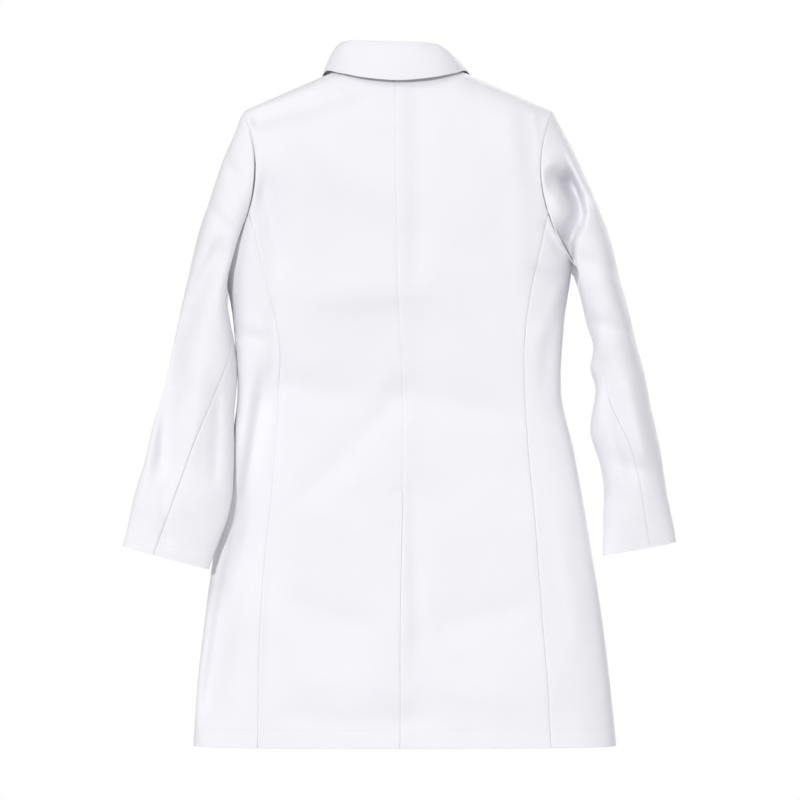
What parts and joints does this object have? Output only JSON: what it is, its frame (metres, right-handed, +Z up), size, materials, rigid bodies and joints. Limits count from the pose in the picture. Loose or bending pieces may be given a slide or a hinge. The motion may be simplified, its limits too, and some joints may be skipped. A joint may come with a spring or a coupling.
{
  "type": "lab coat",
  "caption": "Knee-length tailored white lab coat with notched lapels, princess seams, two-piece sleeves, patch pockets, back vent and snap front.",
  "frame": {"origin": "middle of the neck, level with the neck ends of the shoulder seams, where a hanger's hook rises and a wearer's neck comes out", "axes": "+Z up with the coat hanging, -Y the way the wearer faces, +X the wearer's left"},
  "size_m": [0.7218, 0.1377, 0.9203],
  "materials": {
    "coat_cloth": "matte",
    "label_tape": "satin",
    "snap_cap": "gloss",
    "snap_metal": "satin"
  },
  "bodies": {
    "root": {"left_back_panel": "coat_cloth", "right_back_panel": "coat_cloth", "left_side_back_panel": "coat_cloth", "right_side_back_panel": "coat_cloth", "left_side_front_panel": "coat_cloth", "right_side_front_panel": "coat_cloth", "left_front_shoulder": "coat_cloth", "right_front_shoulder": "coat_cloth", "left_hem": "coat_cloth", "right_hem": "coat_cloth", "vent_facing": "coat_cloth", "vent_underlap": "coat_cloth", "back_neck_facing": "coat_cloth", "size_label": "label_tape", "collar_stand": "coat_cloth", "upper_collar": "coat_cloth"},
    "left_sleeve": {"left_upper_sleeve": "coat_cloth", "left_under_sleeve": "coat_cloth", "left_cuff_hem": "coat_cloth"},
    "right_sleeve": {"right_upper_sleeve": "coat_cloth", "right_under_sleeve": "coat_cloth", "right_cuff_hem": "coat_cloth"},
    "left_front": {"left_front_panel": "coat_cloth", "left_lapel": "coat_cloth", "left_front_facing": "coat_cloth", "left_front_hem": "coat_cloth", "left_chest_pocket": "coat_cloth", "left_pocket": "coat_cloth", "snap_stud_1": "snap_metal", "snap_stud_2": "snap_metal", "snap_stud_3": "snap_metal", "snap_stud_4": "snap_metal"},
    "right_front": {"right_front_panel": "coat_cloth", "right_lapel": "coat_cloth", "right_front_facing": "coat_cloth", "right_front_hem": "coat_cloth", "right_pocket": "coat_cloth", "snap_cap_1": "snap_cap", "snap_cap_2": "snap_cap", "snap_cap_3": "snap_cap", "snap_cap_4": "snap_cap", "snap_socket_1": "snap_metal", "snap_socket_2": "snap_metal", "snap_socket_3": "snap_metal", "snap_socket_4": "snap_metal"},
    "loop": {"hanger_loop": "label_tape"}
  },
  "joints": [
    {"name": "left_sleeve_lift", "type": "hinge", "parent": "root", "child": "left_sleeve", "pos_m": [0.203, 0, -0.052], "axis": [0, -1, 0], "range_deg": [0, 40]},
    {"name": "right_sleeve_lift", "type": "hinge", "parent": "root", "child": "right_sleeve", "pos_m": [-0.203, 0, -0.052], "axis": [0, 1, 0], "range_deg": [0, 40]},
    {"name": "right_front_open", "type": "hinge", "parent": "root", "child": "right_front", "pos_m": [-0.12, -0.043, -0.075], "axis": [-0.0986, -0.0099, -0.9951], "range_deg": [0, 95]},
    {"name": "left_front_open", "type": "hinge", "parent": "root", "child": "left_front", "pos_m": [0.12, -0.043, -0.075], "axis": [-0.0986, 0.0099, 0.9951], "range_deg": [0, 48]},
    {"name": "hanger_loop_flip", "type": "hinge", "parent": "root", "child": "loop", "pos_m": [0, 0.038, -0.012], "axis": [-1, 0, 0], "range_deg": [0, 150]}
  ],
  "couplings": [
    {"joint": "left_front_open", "follows": "right_front_open", "ratio": 0.5}
  ]
}
